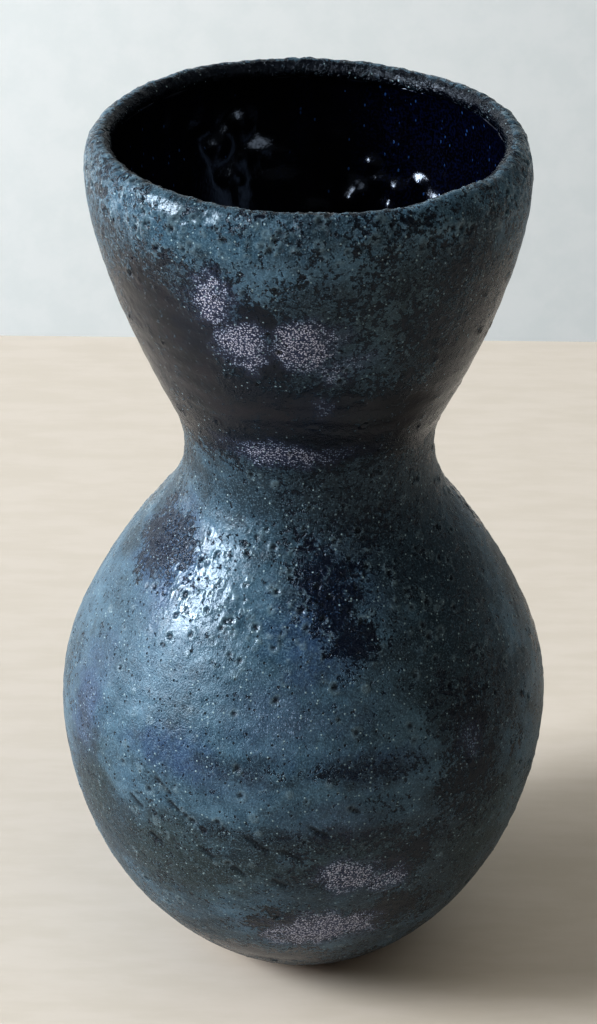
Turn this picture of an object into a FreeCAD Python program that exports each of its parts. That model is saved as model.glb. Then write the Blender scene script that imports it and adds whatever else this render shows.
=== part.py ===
import FreeCAD, Part
import Sketcher
import math
import os

# Stoneware vase of gourd form: a round thrown belly, a narrow waist and a flaring thrown cup.
# The two thrown sections meet at the waist in a V joint filled with joining slip, a thrown ring
# is slipped on under the base as a foot, and two fired coats of glaze cover the clay.
#
# Frame: Z is the axis of the wheel, up, and the origin is the centre of the foot on the table.
# Sizes are millimetres.
#
# The outer surface is one chain of tangent arcs, floor to lip.  Every other face of the wall is
# the same chain at a depth below that surface, so neighbouring pieces meet face to face.

SIZES = [
    # alias, value, what it is
    ("full_height", 292.0, "table to the top of the lip"),
    ("belly_radius", 80.0, "widest radius of the belly"),
    ("belly_height", 93.5, "height of the widest ring of the belly"),
    ("belly_arc", 72.0, "arc radius at the widest ring of the belly"),
    ("lower_arc", 112.0, "arc radius of the lower belly"),
    ("lower_height", 95.8, "height of the centre of the lower arc"),
    ("shoulder_arc", 185.0, "arc radius between belly and waist"),
    ("waist_radius", 39.8, "narrowest radius"),
    ("waist_height", 187.5, "height of the narrowest ring"),
    ("waist_arc", 36.0, "hollow arc radius of the waist"),
    ("wall_arc", 282.0, "arc radius of the cup's flaring wall"),
    ("cup_radius", 68.4, "widest radius of the cup"),
    ("cup_height", 279.5, "height of the widest ring of the cup"),
    ("cup_arc", 53.5, "arc radius at the widest ring of the cup"),
    ("collar_arc", 14.0, "arc radius that turns the cup in to the lip"),
    ("lip_radius", 63.3, "radius of the ring at the top of the lip"),
    ("lip_arc", 3.4, "radius of the rounded lip over the glaze"),
    ("coat", 0.8, "thickness of each fired glaze coat"),
    ("clay", 5.2, "thickness of the clay wall"),
    ("floor_thick", 8.0, "thickness of the clay floor"),
    ("floor_arc", 20.0, "arc that turns the floor up into the wall, at the outer surface"),
    ("base_height", 5.0, "height of the underside of the belly over the table"),
    ("base_bevel", 1.2, "bevel trimmed round the edge of the underside"),
    ("slip", 0.5, "thickness of the joining slip"),
    ("tongue", 3.0, "depth of the V joint at the waist"),
    ("foot_top", 28.4, "outer radius of the foot ring under the base"),
    ("foot_tread", 27.4, "outer radius of the foot ring near the table"),
    ("foot_width", 6.0, "radial width of the foot ring"),
    ("foot_round", 1.2, "rounding of the foot ring's two lower edges"),
]
SIZE = {alias: value for alias, value, _ in SIZES}

# The arcs of the outer surface from the floor up to the lip.
ARCS = ["floor", "lower", "belly", "shoulder", "waist", "wall", "cup", "collar", "lip"]
# The waist is hollow: its centre lies outside the wall, where the others lie inside.
HOLLOW = {"waist"}
# Depths of the wall's four faces below the outer surface.
GLAZE_FACE = "0"
CLAY_FACE = "Sizes.coat"
INNER_CLAY_FACE = "Sizes.coat + Sizes.clay"
LINER_FACE = "2 * Sizes.coat + Sizes.clay"
DEPTH = {
    GLAZE_FACE: 0.0,
    CLAY_FACE: SIZE["coat"],
    INNER_CLAY_FACE: SIZE["coat"] + SIZE["clay"],
    LINER_FACE: 2 * SIZE["coat"] + SIZE["clay"],
}
# Where an arc's centre is fixed by sizes: the expressions of its radius and height.
FLOOR_CENTRE = "Sizes.base_height + Sizes.floor_thick + Sizes.floor_arc - Sizes.coat - Sizes.clay"
CENTRE_X = {
    "belly": "Sizes.belly_radius - Sizes.belly_arc",
    "waist": "Sizes.waist_radius + Sizes.waist_arc",
    "cup": "Sizes.cup_radius - Sizes.cup_arc",
    "lip": "Sizes.lip_radius",
}
CENTRE_Z = {
    "floor": FLOOR_CENTRE,
    "lower": "Sizes.lower_height",
    "belly": "Sizes.belly_height",
    "waist": "Sizes.waist_height",
    "cup": "Sizes.cup_height",
    "lip": "Sizes.full_height - Sizes.lip_arc",
}
START, END, CENTRE = 1, 2, 3
ORIGIN = (-1, 1)
HORIZONTAL_AXIS, VERTICAL_AXIS = -1, -2


def centre_between(first, reach_first, second, reach_second, outer=False):
    """Centre at given distances from two other centres, on the axis side or the outer side."""
    across = second - first
    along = (reach_first**2 - reach_second**2 + across.Length**2) / (2 * across.Length)
    off = math.sqrt(reach_first**2 - along**2)
    unit = FreeCAD.Vector(across).normalize()
    normal = FreeCAD.Vector(-unit.y, unit.x, 0)
    choices = [first + unit * along + normal * off, first + unit * along - normal * off]
    return sorted(choices, key=lambda point: point.x)[-1 if outer else 0]


def arc_centres():
    """Centres of the surface's arcs, in the plane of radius and height."""
    size = SIZE
    vector = FreeCAD.Vector
    belly = vector(size["belly_radius"] - size["belly_arc"], size["belly_height"], 0)
    waist = vector(size["waist_radius"] + size["waist_arc"], size["waist_height"], 0)
    cup = vector(size["cup_radius"] - size["cup_arc"], size["cup_height"], 0)
    lip = vector(size["lip_radius"], size["full_height"] - size["lip_arc"], 0)
    lower_reach = size["lower_arc"] - size["belly_arc"]
    lower_rise = size["lower_height"] - size["belly_height"]
    lower = vector(belly.x - math.sqrt(lower_reach**2 - lower_rise**2), size["lower_height"], 0)
    floor_height = size["base_height"] + size["floor_thick"] + size["floor_arc"]
    floor_height -= size["coat"] + size["clay"]
    floor_reach = size["lower_arc"] - size["floor_arc"]
    floor_drop = size["lower_height"] - floor_height
    floor = vector(lower.x + math.sqrt(floor_reach**2 - floor_drop**2), floor_height, 0)
    shoulder = centre_between(
        belly, size["shoulder_arc"] - size["belly_arc"], waist, size["shoulder_arc"] + size["waist_arc"]
    )
    wall = centre_between(
        cup, size["wall_arc"] - size["cup_arc"], waist, size["wall_arc"] + size["waist_arc"]
    )
    collar = centre_between(
        cup, size["cup_arc"] - size["collar_arc"], lip, size["collar_arc"] - size["lip_arc"], outer=True
    )
    return dict(zip(ARCS, [floor, lower, belly, shoulder, waist, wall, cup, collar, lip]))


CENTRES = arc_centres()


def seam_direction(below, above):
    """Outward direction of the surface where two neighbouring arcs meet."""
    upward = CENTRES[above] - CENTRES[below]
    points_up = above in HOLLOW or (
        below not in HOLLOW and SIZE[below + "_arc"] > SIZE[above + "_arc"]
    )
    return math.atan2(upward.y, upward.x) if points_up else math.atan2(-upward.y, -upward.x)


def arc_radius(name, face):
    """Radius of an arc at one of the wall's faces."""
    depth = DEPTH[face]
    return SIZE[name + "_arc"] + (depth if name in HOLLOW else -depth)


def direction_at_height(name, face, height):
    """Outward direction of an arc at a height."""
    slope = math.asin((height - CENTRES[name].y) / arc_radius(name, face))
    return -slope if name in HOLLOW else slope


class Section:
    """A closed half section of one piece, sketched in radius and height and turned about Z."""

    def __init__(self, doc, label):
        self.body = doc.addObject("PartDesign::Body", label)
        self.body.Label = label
        plane = next(item for item in self.body.Origin.OriginFeatures if item.Role == "XZ_Plane")
        self.sketch = self.body.newObject("Sketcher::SketchObject", label + "_section")
        self.sketch.AttachmentSupport = [(plane, "")]
        self.sketch.MapMode = "FlatFace"
        self.doc = doc

    def constrain(self, kind, *items, size=None):
        """Add a constraint, bound to the sheet where it has a size."""
        index = self.sketch.addConstraint(Sketcher.Constraint(kind, *items))
        if size is not None:
            self.sketch.setExpression("Constraints[%d]" % index, size)

    def at_height(self, end, value, size):
        """Hold an end at a height."""
        self.constrain("DistanceY", *ORIGIN, *end, value, size=size)

    def at_radius(self, end, value, size):
        """Hold an end at a radius."""
        self.constrain("DistanceX", *ORIGIN, *end, value, size=size)

    def arc(self, name, face, low, high, guide=False):
        """One arc of the wall between two outward directions."""
        hollow = name in HOLLOW
        radius = arc_radius(name, face)
        circle = Part.Circle(CENTRES[name], FreeCAD.Vector(0, 0, 1), radius)
        turn = (high + math.pi, low + math.pi) if hollow else (low, high)
        index = self.sketch.addGeometry(Part.ArcOfCircle(circle, *turn), guide)
        sign = "+" if hollow else "-"
        self.constrain("Radius", index, radius, size="Sizes.%s_arc %s (%s)" % (name, sign, face))
        if name in CENTRE_X:
            self.at_radius((index, CENTRE), CENTRES[name].x, CENTRE_X[name])
        if name in CENTRE_Z:
            self.at_height((index, CENTRE), CENTRES[name].y, CENTRE_Z[name])
        ends = (END, START) if hollow else (START, END)
        return (index, ends[0]), (index, ends[1])

    def wall(self, face, first, last, low, high, guides=()):
        """Tangent arcs of the wall at one face; gives the chain's lowest and highest ends."""
        names = ARCS[ARCS.index(first) : ARCS.index(last) + 1]
        seams = [seam_direction(below, above) for below, above in zip(names, names[1:])]
        lows, highs = [low] + seams, seams + [high]
        ends = [
            self.arc(name, face, *turn, guide=name in guides)
            for name, *turn in zip(names, lows, highs)
        ]
        for (_, below_end), (above_start, _) in zip(ends, ends[1:]):
            self.constrain("Tangent", *below_end, *above_start)
        return ends

    def line(self, start, end):
        """A straight edge between two points; its ends are joined by the caller."""
        points = [FreeCAD.Vector(x, z, 0) for x, z in (start, end)]
        return self.sketch.addGeometry(Part.LineSegment(*points))

    def point(self, end):
        """Radius and height of an end of an edge."""
        place = self.sketch.getPoint(*end)
        return place.x, place.y

    def path(self, start, corners, end, leaves="Coincident", arrives="Coincident"):
        """Straight edges from one end through corners to another; "Tangent" makes a smooth join."""
        points = [self.point(start)] + list(corners) + [self.point(end)]
        edges = [self.line(*pair) for pair in zip(points, points[1:])]
        self.constrain(leaves, *start, edges[0], START)
        for below, above in zip(edges, edges[1:]):
            self.constrain("Coincident", below, END, above, START)
        self.constrain(arrives, edges[-1], END, *end)
        return edges

    def turn(self):
        """Revolve the section about Z into the piece."""
        self.doc.recompute()
        turned = self.body.newObject("PartDesign::Revolution", self.body.Label + "_turned")
        turned.Profile = self.sketch
        turned.ReferenceAxis = (self.sketch, ["V_Axis"])
        turned.Angle = 360
        self.doc.recompute()
        return self.body


def make_sheet(doc):
    """The driving sizes, one row each: name, value, meaning."""
    sheet = doc.addObject("Spreadsheet::Sheet", "Sizes")
    for row, (alias, value, meaning) in enumerate(SIZES, start=1):
        sheet.set("A%d" % row, alias)
        sheet.set("B%d" % row, str(value))
        sheet.set("C%d" % row, meaning)
        sheet.setAlias("B%d" % row, alias)
    doc.recompute()


def make_lower_body(doc):
    """Belly section with its floor, open at the waist, with the V groove in its rim."""
    section = Section(doc, "lower_body")
    rim_height = SIZE["waist_height"] - SIZE["slip"] / 2
    rim_size = "Sizes.waist_height - Sizes.slip / 2"
    bevel_height = SIZE["base_height"] + SIZE["base_bevel"]
    outer = section.wall(
        CLAY_FACE,
        "lower",
        "waist",
        direction_at_height("lower", CLAY_FACE, bevel_height),
        direction_at_height("waist", CLAY_FACE, rim_height),
    )
    inner = section.wall(
        INNER_CLAY_FACE,
        "floor",
        "waist",
        -math.pi / 2,
        direction_at_height("waist", INNER_CLAY_FACE, rim_height),
    )
    outer_foot, outer_rim = outer[0][0], outer[-1][1]
    inner_foot, inner_rim = inner[0][0], inner[-1][1]
    section.at_height(outer_rim, rim_height, rim_size)
    section.at_height(inner_rim, rim_height, rim_size)

    # The groove's lowest ring lies in the middle of the wall.
    rims = section.point(outer_rim), section.point(inner_rim)
    middle = sum(radius for radius, _ in rims) / 2
    groove = section.path(outer_rim, [(middle, rim_height - SIZE["tongue"])], inner_rim)
    section.constrain("Equal", *groove)
    bottom = (groove[0], END)
    section.at_height(bottom, rim_height - SIZE["tongue"], rim_size + " - Sizes.tongue")

    floor_height = SIZE["base_height"] + SIZE["floor_thick"]
    base_height = SIZE["base_height"]
    edge_radius = section.point(outer_foot)[0] - SIZE["base_bevel"]
    corners = [(0, floor_height), (0, base_height), (edge_radius, base_height)]
    floor, axis, base, bevel = section.path(inner_foot, corners, outer_foot, leaves="Tangent")
    section.constrain("Horizontal", floor)
    section.constrain("PointOnObject", axis, START, VERTICAL_AXIS)
    section.constrain("Vertical", axis)
    section.constrain("Horizontal", base)
    section.at_height((base, START), base_height, "Sizes.base_height")
    bevel_size = "Sizes.base_bevel"
    section.constrain("DistanceY", bevel, START, bevel, END, SIZE["base_bevel"], size=bevel_size)
    section.constrain("DistanceX", bevel, START, bevel, END, SIZE["base_bevel"], size=bevel_size)
    return section.turn()


def make_waist_slip(doc):
    """Film of joining slip that fills the V joint between the two thrown sections."""
    section = Section(doc, "waist_slip")
    low = SIZE["waist_height"] - SIZE["slip"] / 2
    high = SIZE["waist_height"] + SIZE["slip"] / 2
    chains = []
    for face in (CLAY_FACE, INNER_CLAY_FACE):
        turn = [direction_at_height("waist", face, height) for height in (low, high)]
        bottom, top = section.wall(face, "waist", "waist", *turn)[0]
        section.at_height(bottom, low, "Sizes.waist_height - Sizes.slip / 2")
        section.at_height(top, high, "Sizes.waist_height + Sizes.slip / 2")
        chains.append((bottom, top))
    (outer_low, outer_high), (inner_low, inner_high) = chains
    for outer, inner in ((outer_low, inner_low), (outer_high, inner_high)):
        radii = section.point(outer)[0], section.point(inner)[0]
        height = section.point(outer)[1] - SIZE["tongue"]
        vee = section.path(outer, [(sum(radii) / 2, height)], inner)
        section.constrain("Equal", *vee)
        start, end = (vee[0], END), (vee[0], START)
        section.constrain("DistanceY", *start, *end, SIZE["tongue"], size="Sizes.tongue")
    return section.turn()


def make_upper_body(doc):
    """Flaring cup section: the V tongue at its bottom seats in the belly section's groove."""
    section = Section(doc, "upper_body")
    rim_height = SIZE["waist_height"] + SIZE["slip"] / 2
    rim_size = "Sizes.waist_height + Sizes.slip / 2"
    lip_turn = seam_direction("collar", "lip")
    outer = section.wall(
        CLAY_FACE,
        "waist",
        "lip",
        direction_at_height("waist", CLAY_FACE, rim_height),
        lip_turn + math.pi,
    )
    inner = section.wall(
        INNER_CLAY_FACE,
        "waist",
        "collar",
        direction_at_height("waist", INNER_CLAY_FACE, rim_height),
        lip_turn,
    )
    section.constrain("Tangent", *outer[-1][1], *inner[-1][1])
    outer_rim, inner_rim = outer[0][0], inner[0][0]
    section.at_height(outer_rim, rim_height, rim_size)
    section.at_height(inner_rim, rim_height, rim_size)
    middle = (section.point(outer_rim)[0] + section.point(inner_rim)[0]) / 2
    tongue = section.path(outer_rim, [(middle, rim_height - SIZE["tongue"])], inner_rim)
    section.constrain("Equal", *tongue)
    section.at_height((tongue[0], END), rim_height - SIZE["tongue"], rim_size + " - Sizes.tongue")
    return section.turn()


def make_foot_ring(doc):
    """Thrown ring that the vase stands on: slightly tapered, with both lower edges rounded."""
    section = Section(doc, "foot_ring")
    top = SIZE["base_height"] - SIZE["slip"]
    top_size = "Sizes.base_height - Sizes.slip"
    soft = SIZE["foot_round"]
    lean = (SIZE["foot_top"] - SIZE["foot_tread"]) / (top - soft)
    inner = SIZE["foot_top"] - SIZE["foot_width"]
    tread = SIZE["foot_tread"] - soft
    heel = inner + soft
    circles = [Part.Circle(FreeCAD.Vector(x, soft, 0), FreeCAD.Vector(0, 0, 1), soft) for x in (heel, tread)]
    turns = [(math.pi, 1.5 * math.pi), (1.5 * math.pi, 2 * math.pi - math.atan(lean))]
    rounds = [
        section.sketch.addGeometry(Part.ArcOfCircle(circle, *turn))
        for circle, turn in zip(circles, turns)
    ]
    for index in rounds:
        section.constrain("Radius", index, soft, size="Sizes.foot_round")
    section.at_radius((rounds[1], CENTRE), tread, "Sizes.foot_tread - Sizes.foot_round")
    smooth = {"leaves": "Tangent", "arrives": "Tangent"}
    (sole,) = section.path((rounds[0], END), [], (rounds[1], START), **smooth)
    section.constrain("PointOnObject", sole, START, HORIZONTAL_AXIS)
    section.constrain("Horizontal", sole)
    corners = [(SIZE["foot_top"], top), (inner, top)]
    _, seat, inside = section.path((rounds[1], END), corners, (rounds[0], START), **smooth)
    section.constrain("Vertical", inside)
    section.constrain("Horizontal", seat)
    section.at_height((seat, START), top, top_size)
    section.at_radius((seat, START), SIZE["foot_top"], "Sizes.foot_top")
    section.at_radius((seat, END), inner, "Sizes.foot_top - Sizes.foot_width")
    return section.turn()


def make_foot_slip(doc):
    """Film of joining slip between the foot ring and the underside of the base."""
    section = Section(doc, "foot_slip")
    inner = SIZE["foot_top"] - SIZE["foot_width"]
    top = SIZE["slip"]
    corners = [(inner, 0), (SIZE["foot_top"], 0), (SIZE["foot_top"], top), (inner, top)]
    edges = [section.line(*pair) for pair in zip(corners, corners[1:] + corners[:1])]
    for edge, following in zip(edges, edges[1:] + edges[:1]):
        section.constrain("Coincident", edge, END, following, START)
    for edge in edges[0::2]:
        section.constrain("Horizontal", edge)
    for edge in edges[1::2]:
        section.constrain("Vertical", edge)
    section.constrain("PointOnObject", edges[0], START, HORIZONTAL_AXIS)
    section.at_radius((edges[0], START), inner, "Sizes.foot_top - Sizes.foot_width")
    section.at_radius((edges[0], END), SIZE["foot_top"], "Sizes.foot_top")
    section.at_height((edges[1], END), top, "Sizes.slip")
    body = section.turn()
    body.setExpression("Placement.Base.z", "Sizes.base_height - Sizes.slip")
    return body


def make_outer_glaze(doc):
    """Fired coat on the outside, from the trimmed base edge up and over the lip."""
    section = Section(doc, "outer_glaze")
    edge_height = SIZE["base_height"] + SIZE["base_bevel"]
    edge_size = "Sizes.base_height + Sizes.base_bevel"
    lip_end = seam_direction("collar", "lip") + math.pi
    chains = []
    for face in (GLAZE_FACE, CLAY_FACE):
        start = direction_at_height("lower", face, edge_height)
        ends = section.wall(face, "lower", "lip", start, lip_end)
        section.at_height(ends[0][0], edge_height, edge_size)
        section.constrain("Angle", ends[-1][0][0], math.pi)
        chains.append((ends[0][0], ends[-1][1]))
    (outer_low, outer_high), (inner_low, inner_high) = chains
    section.path(outer_low, [], inner_low)
    section.path(outer_high, [], inner_high)
    return section.turn()


def make_liner_glaze(doc):
    """Fired coat poured inside: it covers the floor and the wall up to the inner side of the lip."""
    section = Section(doc, "liner_glaze")
    lip_turn = seam_direction("collar", "lip")
    chains = []
    for face in (INNER_CLAY_FACE, LINER_FACE):
        ends = section.wall(face, "floor", "collar", -math.pi / 2, lip_turn)
        # A guide circle round the middle of the lip, touched by the end of the coat's face.
        reach = DEPTH[face] - SIZE["lip_arc"]
        circle = Part.Circle(CENTRES["lip"], FreeCAD.Vector(0, 0, 1), reach)
        turn = (lip_turn + math.pi / 2, lip_turn + math.pi)
        guide = section.sketch.addGeometry(Part.ArcOfCircle(circle, *turn), True)
        section.constrain("Radius", guide, reach, size="(%s) - Sizes.lip_arc" % face)
        section.at_radius((guide, CENTRE), CENTRES["lip"].x, CENTRE_X["lip"])
        section.at_height((guide, CENTRE), CENTRES["lip"].y, CENTRE_Z["lip"])
        section.constrain("Vertical", guide, CENTRE, guide, START)
        section.constrain("Tangent", guide, END, *ends[-1][1])
        chains.append((ends[0][0], ends[-1][1]))
    (outer_low, outer_high), (inner_low, inner_high) = chains
    corners = [(0, section.point(outer_low)[1]), (0, section.point(inner_low)[1])]
    smooth = {"leaves": "Tangent", "arrives": "Tangent"}
    under, axis, over = section.path(outer_low, corners, inner_low, **smooth)
    section.constrain("Horizontal", under)
    section.constrain("Horizontal", over)
    section.constrain("PointOnObject", axis, START, VERTICAL_AXIS)
    section.constrain("Vertical", axis)
    section.path(outer_high, [], inner_high)
    return section.turn()


def check(doc, bodies):
    """Stop if any feature failed or any piece isn't one sound solid."""
    for item in doc.Objects:
        if "Invalid" in item.State or "Error" in item.State:
            raise RuntimeError("%s failed: %s" % (item.Label, item.State))
    for body in bodies:
        shape = body.Shape
        if shape.isNull() or not shape.isValid() or len(shape.Solids) != 1:
            raise RuntimeError("%s isn't one sound solid" % body.Label)


def main():
    doc = FreeCAD.newDocument("vase")
    make_sheet(doc)
    makers = [
        make_lower_body,
        make_waist_slip,
        make_upper_body,
        make_foot_slip,
        make_foot_ring,
        make_outer_glaze,
        make_liner_glaze,
    ]
    bodies = [make(doc) for make in makers]
    doc.recompute()
    check(doc, bodies)
    os.makedirs("parts", exist_ok=True)
    for body in bodies:
        body.Shape.exportStep("parts/%s.step" % body.Label)
        print("%-12s %9.1f mm3" % (body.Label, body.Shape.Volume))


main()
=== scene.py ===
import math

import bpy
import numpy as np
from mathutils import Matrix, Vector


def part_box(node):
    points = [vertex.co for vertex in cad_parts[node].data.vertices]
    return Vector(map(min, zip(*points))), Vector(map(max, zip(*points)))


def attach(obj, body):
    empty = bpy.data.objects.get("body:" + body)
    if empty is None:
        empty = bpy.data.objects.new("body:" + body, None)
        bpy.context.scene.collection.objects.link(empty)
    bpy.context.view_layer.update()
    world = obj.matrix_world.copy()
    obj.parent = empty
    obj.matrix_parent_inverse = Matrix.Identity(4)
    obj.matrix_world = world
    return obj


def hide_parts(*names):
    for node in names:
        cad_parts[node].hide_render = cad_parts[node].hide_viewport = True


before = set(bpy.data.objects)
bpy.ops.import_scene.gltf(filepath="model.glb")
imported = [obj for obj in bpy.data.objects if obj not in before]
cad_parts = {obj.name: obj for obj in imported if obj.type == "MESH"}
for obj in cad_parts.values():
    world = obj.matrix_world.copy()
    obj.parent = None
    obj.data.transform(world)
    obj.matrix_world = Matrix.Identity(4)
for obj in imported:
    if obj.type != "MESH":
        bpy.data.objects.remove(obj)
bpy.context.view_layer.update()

# Metres throughout. The vase stands at the origin and is seen from the front, along +Y.
# Angles round the vase are degrees: 0 is the front, 90 the right, 180 the back.
MM = 0.001

# ---------------------------------------------------------------- the form

# Driving sizes of the surface's arcs, as in the CAD frame.
FULL_HEIGHT = 292.0 * MM
BELLY_RADIUS, BELLY_HEIGHT, BELLY_ARC = 80.0 * MM, 93.5 * MM, 72.0 * MM
LOWER_HEIGHT, LOWER_ARC = 95.8 * MM, 112.0 * MM
SHOULDER_ARC = 185.0 * MM
WAIST_RADIUS, WAIST_HEIGHT, WAIST_ARC = 39.8 * MM, 187.5 * MM, 36.0 * MM
WALL_ARC = 282.0 * MM
CUP_RADIUS, CUP_HEIGHT, CUP_ARC = 68.4 * MM, 279.5 * MM, 53.5 * MM
COLLAR_ARC = 14.0 * MM
LIP_RADIUS, LIP_ARC = 63.3 * MM, 3.4 * MM
COAT, CLAY = 0.8 * MM, 5.2 * MM
FLOOR_THICK, FLOOR_ARC = 8.0 * MM, 20.0 * MM
BASE_HEIGHT, BASE_BEVEL = 5.0 * MM, 1.2 * MM
SLIP, TONGUE = 0.5 * MM, 3.0 * MM

ARCS = ["floor", "lower", "belly", "shoulder", "waist", "wall", "cup", "collar", "lip"]
REACHES = [FLOOR_ARC, LOWER_ARC, BELLY_ARC, SHOULDER_ARC, WAIST_ARC, WALL_ARC, CUP_ARC, COLLAR_ARC, LIP_ARC]
RADIUS = dict(zip(ARCS, REACHES))
HOLLOW = {"waist"}


def centre_between(first, reach_first, second, reach_second, outer=False):
    """Centre at given distances from two others, on the axis side or on the outer side."""
    across = second - first
    along = (reach_first**2 - reach_second**2 + across.length_squared) / (2 * across.length)
    off = math.sqrt(reach_first**2 - along**2)
    unit = across.normalized()
    normal = Vector((-unit.y, unit.x))
    choices = [first + unit * along + normal * off, first + unit * along - normal * off]
    return sorted(choices, key=lambda point: point.x)[-1 if outer else 0]


def arc_centres():
    """Centres of the surface's arcs, in the plane of radius and height."""
    belly = Vector((BELLY_RADIUS - BELLY_ARC, BELLY_HEIGHT))
    waist = Vector((WAIST_RADIUS + WAIST_ARC, WAIST_HEIGHT))
    cup = Vector((CUP_RADIUS - CUP_ARC, CUP_HEIGHT))
    lip = Vector((LIP_RADIUS, FULL_HEIGHT - LIP_ARC))
    rise = LOWER_HEIGHT - BELLY_HEIGHT
    lower = Vector((belly.x - math.sqrt((LOWER_ARC - BELLY_ARC) ** 2 - rise**2), LOWER_HEIGHT))
    floor_height = BASE_HEIGHT + FLOOR_THICK + FLOOR_ARC - COAT - CLAY
    drop = LOWER_HEIGHT - floor_height
    floor = Vector((lower.x + math.sqrt((LOWER_ARC - FLOOR_ARC) ** 2 - drop**2), floor_height))
    shoulder = centre_between(belly, SHOULDER_ARC - BELLY_ARC, waist, SHOULDER_ARC + WAIST_ARC)
    wall = centre_between(cup, WALL_ARC - CUP_ARC, waist, WALL_ARC + WAIST_ARC)
    collar = centre_between(cup, CUP_ARC - COLLAR_ARC, lip, COLLAR_ARC - LIP_ARC, outer=True)
    return dict(zip(ARCS, [floor, lower, belly, shoulder, waist, wall, cup, collar, lip]))


CENTRE = arc_centres()


def seam_direction(below, above):
    """Outward direction of the surface where two neighbouring arcs meet."""
    upward = CENTRE[above] - CENTRE[below]
    points_up = above in HOLLOW or (below not in HOLLOW and RADIUS[below] > RADIUS[above])
    return math.atan2(upward.y, upward.x) if points_up else math.atan2(-upward.y, -upward.x)


def radius_at(name, depth):
    """Radius of an arc at a depth below the outer surface."""
    return RADIUS[name] + (depth if name in HOLLOW else -depth)


def direction_at_height(name, depth, height):
    """Outward direction of an arc at a height."""
    slope = math.asin((height - CENTRE[name].y) / radius_at(name, depth))
    return -slope if name in HOLLOW else slope


def wall_points(depth, first, last, low, high, spacing):
    """Evenly spaced points (radius, height) up the wall at a depth, through tangent arcs."""
    names = ARCS[ARCS.index(first) : ARCS.index(last) + 1]
    seams = [seam_direction(below, above) for below, above in zip(names, names[1:])]
    points = []
    for name, start, end in zip(names, [low] + seams, seams + [high]):
        radius = radius_at(name, depth)
        count = max(2, int(abs(end - start) * abs(radius) / spacing) + 1)
        turn = np.linspace(start, end, count, endpoint=name == last)
        side = -1 if name in HOLLOW else 1
        x = CENTRE[name].x + side * radius * np.cos(turn)
        z = CENTRE[name].y + side * radius * np.sin(turn)
        points.append(np.stack([x, z], axis=1))
    return np.concatenate(points)


def straight_points(start, end, count):
    """Points on a straight stretch of a section, without its ends."""
    share = np.linspace(0, 1, count + 2)[1:-1, None]
    return np.array(start) * (1 - share) + np.array(end) * share


# ---------------------------------------------------------------- seeded noise


def hashed(ix, iy, iz, seed):
    """A repeatable value from 0 to 1 for each lattice cell."""
    mixed = ix * 374761393 + iy * 668265263 + iz * 1440662683 + seed * 1013904223
    mixed = mixed.astype(np.uint32)
    mixed = (mixed ^ (mixed >> np.uint32(13))) * np.uint32(1274126177)
    mixed = (mixed ^ (mixed >> np.uint32(15))) * np.uint32(2246822519)
    mixed ^= mixed >> np.uint32(16)
    return (mixed & np.uint32(0xFFFFFF)).astype(np.float64) / 0x1000000


def noise(points, size, seed):
    """Smooth noise from 0 to 1 whose lumps are about the given size."""
    cell = np.floor(points / size).astype(np.int64)
    part = points / size - cell
    ease = part * part * (3 - 2 * part)
    total = 0
    for dx in (0, 1):
        for dy in (0, 1):
            for dz in (0, 1):
                weight = np.abs(1 - dx - ease[:, 0])
                weight = weight * np.abs(1 - dy - ease[:, 1]) * np.abs(1 - dz - ease[:, 2])
                value = hashed(cell[:, 0] + dx, cell[:, 1] + dy, cell[:, 2] + dz, seed)
                total = total + weight * value
    return total


def layered(points, size, seed, layers=3):
    """Noise from 0 to 1 with finer layers added, each half the size and half the strength."""
    total, reach = 0, 0
    for layer in range(layers):
        strength = 0.5**layer
        total = total + strength * noise(points, size * strength, seed + layer)
        reach += strength
    return total / reach


def nearest_cell(points, size, seed):
    """Distance to the nearest scattered point, in cells, and that point's own value from 0 to 1."""
    cell = np.floor(points / size).astype(np.int64)
    part = points / size - cell
    best = np.full(len(points), 9.0)
    value = np.zeros(len(points))
    for dx in (-1, 0, 1):
        for dy in (-1, 0, 1):
            for dz in (-1, 0, 1):
                corner = (cell[:, 0] + dx, cell[:, 1] + dy, cell[:, 2] + dz)
                offset = [hashed(*corner, seed + axis) for axis in range(3)]
                reach = (part[:, 0] - dx - offset[0]) ** 2
                reach += (part[:, 1] - dy - offset[1]) ** 2
                reach += (part[:, 2] - dz - offset[2]) ** 2
                closer = reach < best
                best = np.where(closer, reach, best)
                value = np.where(closer, hashed(*corner, seed + 3), value)
    return np.sqrt(best), value


def ramp(value, low, high):
    """0 below low, 1 above high, smooth between; low may be the larger."""
    share = np.clip((value - low) / (high - low), 0, 1)
    return share * share * (3 - 2 * share)


# ---------------------------------------------------------------- camera

LENS = 112.5
CAMERA_BACK, CAMERA_UP = 911 * MM, 655.1 * MM
CAMERA_PITCH = math.radians(28.51)
CAMERA_YAW = math.radians(0.143)
CAMERA_ROLL = math.radians(0.55)


def make_camera():
    """A long lens above and in front of the vase, leaning a little as a hand-held shot does."""
    data = bpy.data.cameras.new("camera")
    data.lens = LENS
    camera = bpy.data.objects.new("camera", data)
    look = Matrix.Rotation(CAMERA_YAW, 4, "Z") @ Matrix.Rotation(math.pi / 2 - CAMERA_PITCH, 4, "X")
    camera.matrix_world = (
        Matrix.Translation((0, -CAMERA_BACK, CAMERA_UP)) @ look @ Matrix.Rotation(CAMERA_ROLL, 4, "Z")
    )
    bpy.context.scene.collection.objects.link(camera)
    bpy.context.scene.camera = camera


make_camera()

# ---------------------------------------------------------------- the handmade shape

# How far the axis wanders to the right as it goes up: (height, shift), millimetres.
WANDER = [
    (0, 0), (8, 0), (30, -0.7), (95, -0.2), (140, 0.3), (170, 1.1), (182, 1.3), (193, 0.5), (215, 0.9),
    (262, 0.3), (292, -0.4),
]
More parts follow.
